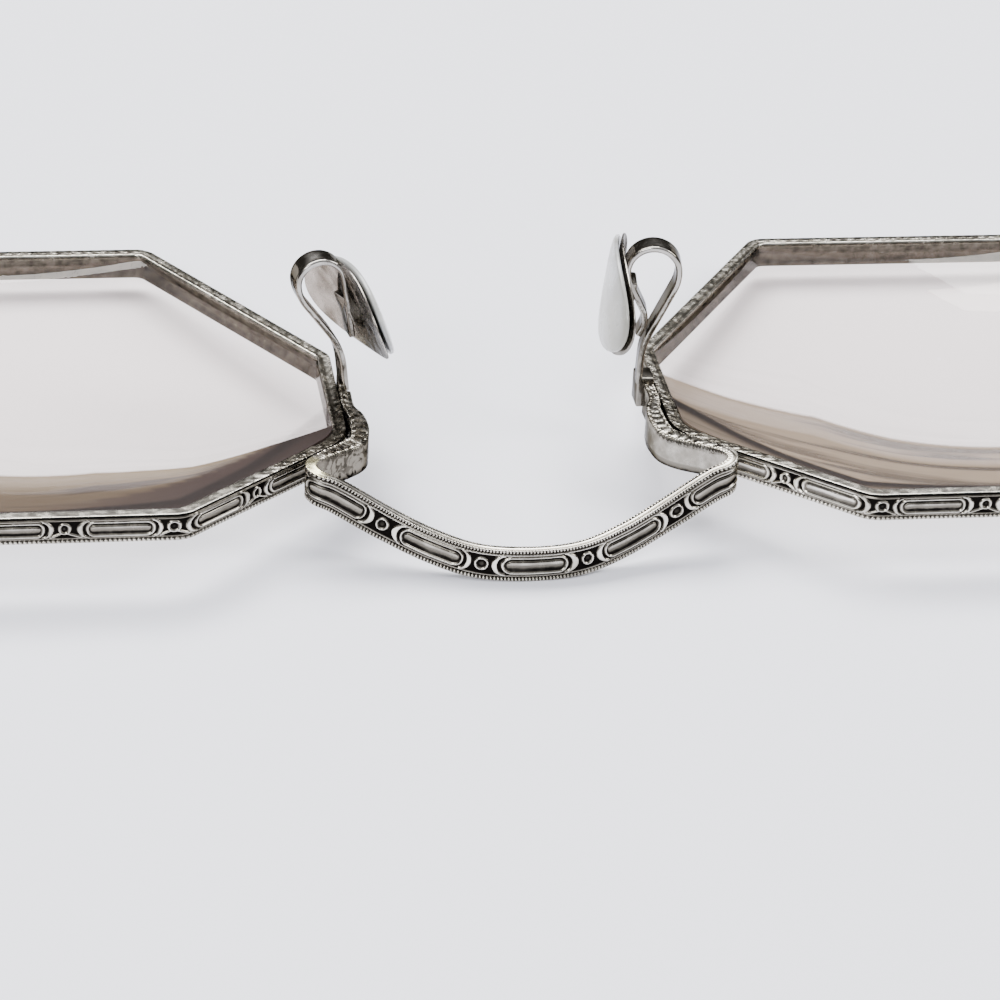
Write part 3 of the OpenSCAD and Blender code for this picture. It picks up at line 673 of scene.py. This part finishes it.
# a block with rounded edges, added to a mesh that is already in the row frame
def addBlock(bm, low, high, matrix, side, soft):
    block = bmesh.new()
    bmesh.ops.create_cube(block, size=1)
    middle, span = (Vector(low) + Vector(high)) / 2, Vector(high) - Vector(low)
    for v in block.verts:
        v.co = middle + Vector([a * b for a, b in zip(v.co, span)])
    bmesh.ops.bevel(block, geom=block.edges[:], offset=soft, segments=4, profile=0.5, affect="EDGES",
                    material=-1)
    settle(block, placed([v.co[:] for v in block.verts], matrix, side))
    layer = block.verts.layers.float.new("wearAndPaintedLight")
    for v in block.verts:
        v[layer] = pad["lugWear"]
    part = bpy.data.meshes.new("block")
    block.to_mesh(part)
    block.free()
    bm.from_mesh(part)
    bpy.data.meshes.remove(part)


# round-cornered section of a flat wire, with a few more points on its two faces
def roundedStrip(halfT, halfW, soft, steps=5, shares=(0.07, 0.14, 0.3, 0.5, 0.7, 0.86, 0.93)):
    points = []
    for cx, cy, start in ((1, 1, 0), (-1, 1, 90), (-1, -1, 180), (1, -1, 270)):
        for k in range(steps + 1):
            a = math.radians(start + 90 * k / steps)
            x, y = cx * (halfT - soft) + soft * math.cos(a), cy * (halfW - soft) + soft * math.sin(a)
            points.append((x, y))
        if cx * cy < 0:
            points += [(cx * halfT, cy * (halfW - soft) * (1 - 2 * t)) for t in shares]
    return np.array(points + [points[0]])


def makePadArm(side):
    path, footX, armFrame, seatFrame, padFrame = padLayout(side)
    p = padSides[side]
    path = np.array(path)
    reach = np.concatenate([[0], np.cumsum(np.hypot(*np.diff(path[:, :2], axis=0).T) + 1e-7)])
    halfW, halfT = arm["width"] / 2, arm["thickness"] / 2
    section = roundedStrip(halfT, halfW, arm["edge"])

    def place(u, v):
        s = u * reach[-1]
        d, w = onSection(section, v * (len(section) - 1))
        w = w * (1 - arm["endTaper"] * ease(0.85, 1.0, u))
        x, z, h = [np.interp(s, reach, c) for c in path.T]
        x, z = x + d * np.cos(np.radians(h)), z - d * np.sin(np.radians(h))
        # the strip's edges are painted lighter as a highlight, and a painted dark line runs along each face
        # just inside them
        edge = ease(0.82, 0.97, np.abs(w) / halfW) * ease(0.9, 0.5, np.abs(d) / halfT)
        line = ridge(np.abs(w) / halfW - arm["lineAt"], 0.06) * (np.abs(d) > halfT * 0.98)
        cloudy = 0.16 * np.sin(s * 1.9) * np.sin(s * 0.7 + 1)
        wearAndPaintedLight = arm["wear"] + arm["edgeHighlight"] * edge - arm["paintedDarkLine"] * line + cloudy
        return placed(np.stack([x, w, z], 1), armFrame, side), wearAndPaintedLight

    bm = wrapGrid(arm["along"], len(section) - 1, place, False)
    lugHalf = pad["lugHeight"] / 2
    addBlock(bm, (footX - halfT, -arm["footY"] - halfW, arm["footLow"]),
             (footX + p["inset"], -arm["footY"] + halfW, arm["footTop"]), Matrix(), side, arm["footEdge"])
    addBlock(bm, (-halfT - p["lug"] - pad["lugSink"], -halfW, -lugHalf - p["lugLow"]),
             (halfT + p["lugReach"], halfW, lugHalf - p["lugLow"]), seatFrame, side, pad["lugEdge"][side])
    return finish(bm, "padArm_" + side, "front", plainMetal, ["pad_arm_" + side])


# a bowed oval with a soft edge, from a sphere; margin is how far it passes the pad's outline
def ovalShell(name, side, margin, back, thickness, square, material, node):
    length, width = pad["length"] + 2 * margin, pad["width"] + 2 * margin
    bm = bmesh.new()
    bmesh.ops.create_uvsphere(bm, u_segments=112, v_segments=44, radius=1)
    spots = np.array([v.co[:] for v in bm.verts])
    angle = np.arctan2(spots[:, 1], spots[:, 0])
    r = np.hypot(spots[:, 0], spots[:, 1]) ** (2 / square)
    t = np.sign(spots[:, 2]) * np.abs(spots[:, 2]) ** (2 / square)
    y, z = length / 2 * r * np.sin(angle), width / 2 * r * np.cos(angle)
    x = -back - thickness / 2 - t * thickness / 2
    bow = pad["curve"] - np.sqrt(pad["curve"] ** 2 - y ** 2)
    settle(bm, placed(np.stack([x + bow, y, z], 1), padLayout(side)[4], side))
    return finish(bm, name, "front", material, [node])


def padBackFinish():
    f = Finish("padBack")
    wave = f.noise(grainScale["cloud"], 2.0, 0.4)
    scratch = f.noise(grainScale["scratch"])
    tone = f.mixed(f.spread(wave, 0.4, 0.6), metals["plain"], metals["warm"])
    dents = f.add("ShaderNodeBump", None, dict(Strength=0.5, Distance=0.0008, Height=wave))
    return f.close(f.metal(tone, f.spread(scratch, 0.3, 0.75, 0.18, 0.32), dents))


padBack = padBackFinish()
for side in ("right", "left"):
    makePadArm(side)
    ovalShell("padPlate_" + side, side, pad["lip"], 0.0, pad["plate"], pad["plateSquare"],
              padBack, "pad_plate_" + side)
    ovalShell("padPearl_" + side, side, 0.0, pad["plate"], pad["thickness"], pad["pearlSquare"],
              pearl, "nose_pad_" + side)
print("pads made")

# Lenses

lens = dict(
    curve=100.0, thickness=1.3, drop=0.85, cell=0.5, play=0.04, cornerSteps=4, bandBend=0.35,
    crease=0.35,    # radians
    # depth of the rim's painted shadow line from the brow, at distances from the nose, and from the next side
    shadow=((0, 3.3), (1.8, 2.8), (3.6, 2.15), (5.9, 1.75), (12, 1.65)), sideShadow=2.25,
)
lensBand = dict(    # the painted reflection band's depth from the brow, at distances from the nose
    right=((0, 6.1), (4, 7.1), (9.6, 9.1), (14, 8.6), (21, 8.5), (32, 6.5), (42, 1.0)),
    left=((0, 0.8), (4, 2.4), (9, 4.0), (12, 5.6), (15, 6.9), (21, 8.0), (32, 6.5), (42, 1.0)),
)
lensBack = lens["curve"] - lens["thickness"]
lensCentre = (noseX + rim["lensW"] / 2, 0.0, -lens["drop"] + math.sqrt(lensBack ** 2 - halfH ** 2))


def makeLens(side):
    sign = 1 if side == "right" else -1
    spanX, spanY = rim["lensW"] + 2, rim["lensH"] + 2
    bm = bmesh.new()
    cells = [int(span / lens["cell"]) for span in (spanX, spanY)]
    bmesh.ops.create_grid(bm, x_segments=cells[0], y_segments=cells[1], size=0.5)
    for v in bm.verts:
        v.co = Vector((lensCentre[0] + v.co.x * spanX, v.co.y * spanY, 0))
    corners = np.array(openingCorners)
    for k in range(len(corners)):
        before, ahead = unit(corners[k] - corners[k - 1]), unit(corners[(k + 1) % 8] - corners[k])
        bend = math.acos(float(before @ ahead))
        inner = max(rim["cornerRadius"][k] - rim["wall"] / 2, 0.2)
        bow = unit(before - ahead)    # from the corner's rounding outwards
        middle = corners[k] - bow * inner / math.cos(bend / 2)
        for step in range(lens["cornerSteps"] + 1):
            a = math.atan2(before[1], before[0]) - math.pi / 2 + bend * step / lens["cornerSteps"]
            out = Vector((math.cos(a), math.sin(a), 0))
            bmesh.ops.bisect_plane(bm, geom=bm.verts[:] + bm.edges[:] + bm.faces[:], dist=1e-5,
                                   plane_co=Vector((*middle, 0)) + out * (inner - lens["play"]), plane_no=out,
                                   clear_outer=True)
    bmesh.ops.remove_doubles(bm, verts=bm.verts, dist=weld["lens"])
    copy = bmesh.ops.extrude_face_region(bm, geom=bm.faces[:], use_keep_orig=True)["geom"]
    lower = {v for v in copy if isinstance(v, bmesh.types.BMVert)}
    for v in bm.verts:
        r = math.hypot(v.co.x - lensCentre[0], v.co.y)
        radius = lens["curve"] if v in lower else lensBack
        v.co.z = lensCentre[2] - math.sqrt(radius * radius - r * r)
    bmesh.ops.recalc_face_normals(bm, faces=bm.faces)
    for e in bm.edges:
        e.smooth = len(e.link_faces) == 2 and e.calc_face_angle(0) < lens["crease"]
    brow, bandShade, gap = [bm.verts.layers.float.new(k) for k in ("brow", "bandShade", "gap")]
    bend = lens["bandBend"]    # rounds the band's corners
    for v in bm.verts:
        distances, x = browDistances(v.co.x, v.co.y), v.co.x - noseX
        away = -math.log(sum(math.exp(-bend * d) for d in distances)) / bend
        v[brow] = away / np.interp(x, *zip(*lensBand[side]))
        v[gap] = min(distances[0] - np.interp(x, *zip(*lens["shadow"])), distances[1] - lens["sideShadow"])
        # on the left lens the band's darkest part, painted shade, lies by the nose, along the rim and towards
        # the temple
        if side == "left":
            byNose = ease(1.1, 0.7, v[brow]) * ease(12.0, 6.0, x) * 0.8
            byRim = ease(3.0, 2.3, away) * ease(42, 8, x)
            outside = ease(1.0, 0.45, v[brow]) * ease(40.0, 25.0, x) * 0.7
            v[bandShade] = max(byNose, byRim, outside)
        v.co.x *= sign
    settle(bm, [v.co[:] for v in bm.verts])
    piece = finish(bm, "lensGlass_" + side, "front", lensGlass, ["lens_" + side])
    piece.visible_shadow = False    # clear glass throws hardly any
    return piece


# distances from the three sides of the opening that meet the brow
def browDistances(x, y):
    corners = np.array(openingCorners)
    distances = []
    for k in (7, 0, 1):
        ahead = unit(corners[(k + 1) % 8] - corners[k])
        distances.append((x - corners[k][0]) * -ahead[1] + (y - corners[k][1]) * ahead[0])
    return distances


for side in ("right", "left"):
    makeLens(side)
print("lenses made")

# End pieces, screws and temples

hardware = dict(
    wireX=1.9, wireRadius=0.65, sleeveStart=79.0, sleeveLength=6.0, sleeveRadius=1.0, play=0.01,
    cableRadius=0.72, reach=97.0, curlRadius=20.0, curlAngle=150.0, tipLength=6.0, tipRadius=1.1, droop=8.0,
    cablePitch=0.5, rowsPerTurn=6, cableSides=22, windingDepth=0.8,
)
roundings = dict(    # mm rounded off an edge, and the room that it needs beside it
    endPiece=(0.1, 0.05), screw=(0.06, 0.1), temple=(0.08, 0.1), core=(0.03, 0.1),
)
sharpAngle = math.radians(38)


# z along an open temple, x outwards, zero on the hinge
def templeFrame(side):
    return (moveBy(seat["hingeX"], seat["hingeY"], seat["hingeUp"]) @ turnBy(-hardware["droop"], "X")
            @ moveBy(hardware["wireX"], 0, 0))


# a copy of a metal fitting, rounded at the edges that have room for it
def softCopy(node, name, body, material, rounding):
    source = frame["nodes"][node]
    offset, room = [length * mm for length in rounding]
    bm = bmesh.new()
    bm.from_mesh(source.data)
    bmesh.ops.transform(bm, matrix=source.matrix_world, verts=bm.verts)
    bmesh.ops.remove_doubles(bm, verts=bm.verts, dist=weld["fitting"])
    bmesh.ops.dissolve_limit(bm, angle_limit=math.radians(2), verts=bm.verts, edges=bm.edges)
    sharp = [e for e in bm.edges if len(e.link_faces) == 2 and e.calc_face_angle(0) > sharpAngle
             and min(o.calc_length() for v in e.verts for o in v.link_edges) > room]
    bmesh.ops.bevel(bm, geom=sharp, offset=offset, segments=3, profile=0.5, affect="EDGES", material=-1,
                    clamp_overlap=False)
    bmesh.ops.recalc_face_normals(bm, faces=bm.faces)
    for e in bm.edges:
        e.smooth = len(e.link_faces) == 2 and e.calc_face_angle(0) < sharpAngle
    piece = finish(bm, name, body, material, [node])
    weighted = piece.modifiers.new("evenShading", "WEIGHTED_NORMAL")
    weighted.keep_sharp = True
    return piece


# a turned ring or cap: (radius, along) points spun round the temple's line
def latheBand(profile, matrix, side, steps=48):
    ring = bmesh.new()
    verts = [ring.verts.new((r, 0, z)) for r, z in profile]
    edges = [ring.edges.new((a, b)) for a, b in zip(verts, verts[1:])]
    bmesh.ops.spin(ring, geom=verts + edges, cent=(0, 0, 0), axis=(0, 0, 1), angle=2 * math.pi, steps=steps,
                   use_merge=True)
    bmesh.ops.remove_doubles(ring, verts=ring.verts, dist=weld["turned"])
    settle(ring, placed([v.co[:] for v in ring.verts], matrix, side))
    return ring


# a turned profile with its corners rounded
def softProfile(points, soft=0.12, steps=3):
    smooth = [points[0]]
    for before, here, after in zip(points, points[1:], points[2:]):
        here = np.array(here)
        a, b = np.array(before) - here, np.array(after) - here
        cut = min(soft, np.linalg.norm(a) / 2.2, np.linalg.norm(b) / 2.2)
        start, end = here + unit(a) * cut, here + unit(b) * cut
        for k in range(steps + 1):
            t = k / steps
            smooth.append(tuple((1 - t) ** 2 * start + 2 * t * (1 - t) * here + t ** 2 * end))
    return smooth + [points[-1]]


def makeSleeve(side):
    h = hardware
    r, length = h["sleeveRadius"], h["sleeveLength"]
    wireHole, cableHole = h["wireRadius"] + h["play"], h["cableRadius"] + h["play"]
    outside = [(wireHole, 0.0), (r * 0.86, 0.0), (r, 0.35), (r, 0.75), (r * 0.9, 0.95),
               (r * 0.9, length - 1.25), (r, length - 1.05), (r, length - 0.4), (r * 0.88, length),
               (cableHole, length)]
    inside = [(cableHole, length / 2), (wireHole, length / 2), (wireHole, 0.0)]
    bm = latheBand(softProfile(outside) + inside, templeFrame(side) @ moveBy(0, 0, h["sleeveStart"]), side)
    finish(bm, "sleeve_" + side, "temple_" + side, bareMetal, ["temple_sleeve_" + side])


def makeTip(side):
    h = hardware
    r, length = h["tipRadius"], h["tipLength"]
    cap = [(0.0, 0.0), (r * 0.8, 0.0), (r * 0.92, 0.3), (r * 0.92, 0.55), (r * 0.78, 0.75), (r * 0.78, 1.0),
           (r, 1.3)]
    for k in range(13):
        a = math.pi / 2 * k / 12
        cap.append((r * math.cos(a), length - r + r * math.sin(a)))
    matrix = (templeFrame(side) @ moveBy(0, h["curlRadius"], h["reach"]) @ turnBy(-h["curlAngle"], "X")
              @ moveBy(0, -h["curlRadius"], 0))
    bm = latheBand(softProfile(cap, 0.1), matrix, side)
    finish(bm, "tip_" + side, "temple_" + side, bareMetal, ["temple_tip_" + side])


def makeCable(side):
    h = hardware
    start = h["sleeveStart"] + h["sleeveLength"] / 2
    straight = h["reach"] - start
    total = straight + h["curlRadius"] * math.radians(h["curlAngle"])
    turns = int(total / h["cablePitch"])
    pitch = total / turns
    half, deep = pitch / 2, pitch / 2 * h["windingDepth"]

    def place(u, v):
        s = np.clip(u * (total + 2 * pitch) - 2 * pitch + v * pitch, 0, total)
        local = ((u * (turns + 2)) % 1.0 - 0.5) * pitch
        sink = deep * (1 - np.sqrt(np.clip(1 - (local / half) ** 2 * 0.96, 0, 1)))
        r, angle = h["cableRadius"] - sink, v * 2 * math.pi
        x, out = r * np.sin(angle), r * np.cos(angle)
        bend = np.clip(s - straight, 0, None) / h["curlRadius"]
        y = np.where(bend > 0, h["curlRadius"] - (h["curlRadius"] + out) * np.cos(bend), -out)
        z = np.where(bend > 0, h["reach"] + (h["curlRadius"] + out) * np.sin(bend), start + s)
        wearAndPaintedLight = 0.25 + 0.75 * ease(0.0, 0.6, 1 - sink / deep)
        return placed(np.stack([x, y, z], 1), templeFrame(side), side), wearAndPaintedLight

    bm = wrapGrid((turns + 2) * h["rowsPerTurn"], h["cableSides"], place, False)
    finish(bm, "cable_" + side, "temple_" + side, cableMetal, ["temple_cable_" + side])


for side in ("right", "left"):
    for half in ("upper", "lower"):
        ending = half + "_" + side
        softCopy("end_piece_" + ending, "endPiece_" + ending, "front", bareMetal,
                 roundings["endPiece"])
    softCopy("joint_screw_" + side, "screw_" + side, "front", screwMetal, roundings["screw"])
    temple = "temple_" + side
    softCopy(temple, "templeWire_" + side, temple, bareMetal, roundings["temple"])
    softCopy("temple_core_" + side, "core_" + side, temple, screwMetal, roundings["core"])
    makeSleeve(side)
    makeTip(side)
    makeCable(side)
print("temples made")

# Floor, light and camera

studio = dict(
    floor=(0.885, 0.893, 0.972), worldLow=(0.1, 0.095, 0.09), worldHorizon=(0.2, 0.2, 0.2),
    worldHigh=(0.9, 0.92, 0.97), worldStrength=0.95, focal=141.3,
    eye=(-37.284, -227.009, 113.301), ahead=(0.147, 0.8692, -0.4721), right=(0.9888, -0.142, 0.0464),
    up=(0.0267, 0.4736, 0.8803), floorHalf=3.0,    # the camera in the front's own frame, the floor in m
)
softboxes = dict(    # place and size in m, watts, colour; each faces the part
    backLight=((-0.14, 0.52, 0.8), (1.0, 0.5), 23.5, (1.0, 0.99, 0.97)),
    sideLight=((0.6, -0.15, 0.45), (0.25, 0.4), 4.2, (1.0, 1.0, 1.0)),
    frontLight=((-0.35, -0.6, 0.5), (0.4, 0.2), 4.2, (0.98, 0.99, 1.0)),
)


def floorFinish():
    f = Finish("paleFloor")
    bump = f.add("ShaderNodeBump", None, dict(Strength=0.08, Distance=0.0002, Height=f.noise(900.0, 3.0)))
    shader = f.add("ShaderNodeBsdfPrincipled", None,
                   {"Base Color": (*studio["floor"], 1), "Roughness": 0.55, "Normal": bump})
    return f.close(shader)


def makeFloor():
    bm = bmesh.new()
    bmesh.ops.create_grid(bm, x_segments=8, y_segments=8, size=studio["floorHalf"])
    mesh = bpy.data.meshes.new("paleFloor")
    bm.to_mesh(mesh)
    bm.free()
    floor = bpy.data.objects.new("paleFloor", mesh)
    bpy.context.scene.collection.objects.link(floor)
    mesh.materials.append(floorFinish())


def softbox(name, spot, size, energy, colour):
    light = bpy.data.lights.new(name, "AREA")
    light.shape = "RECTANGLE"
    light.size, light.size_y = size
    light.energy = energy
    light.color = colour
    box = bpy.data.objects.new(name, light)
    box.location = spot
    box.rotation_euler = (-Vector(spot)).to_track_quat("-Z", "Y").to_euler()
    bpy.context.scene.collection.objects.link(box)


def makeWorld():
    world = bpy.data.worlds.new("studioLight")
    world.use_nodes = True
    bpy.context.scene.world = world
    tree = world.node_tree
    coords = tree.nodes.new("ShaderNodeTexCoord")
    parts = tree.nodes.new("ShaderNodeSeparateXYZ")
    ramp = tree.nodes.new("ShaderNodeValToRGB")
    tree.links.new(coords.outputs["Generated"], parts.inputs[0])
    tree.links.new(parts.outputs["Z"], ramp.inputs[0])
    stops = ((0.0, studio["worldHorizon"]), (0.3, studio["worldLow"]), (0.75, studio["worldHigh"]))
    ramp.color_ramp.elements.new(0.5)
    for element, (at, colour) in zip(ramp.color_ramp.elements, stops):
        element.position = at
        element.color = (*colour, 1)
    back = tree.nodes["Background"]
    tree.links.new(ramp.outputs[0], back.inputs[0])
    back.inputs[1].default_value = studio["worldStrength"]


def makeCamera():
    camera = bpy.data.cameras.new("photoView")
    camera.sensor_width = 36
    camera.lens = studio["focal"]
    camera.clip_start = 0.005
    camera.clip_end = 20
    viewer = bpy.data.objects.new("photoView", camera)
    right, up, ahead = [turn @ Vector(studio[k]).normalized() for k in ("right", "up", "ahead")]
    facing = Matrix((right, up, -ahead)).transposed().to_4x4()
    facing.translation = Vector(toRow([studio["eye"]])[0])
    viewer.matrix_world = facing
    bpy.context.scene.collection.objects.link(viewer)
    bpy.context.scene.camera = viewer


makeFloor()
makeWorld()
for name, values in softboxes.items():
    softbox(name, *values)
makeCamera()
print("studio made")
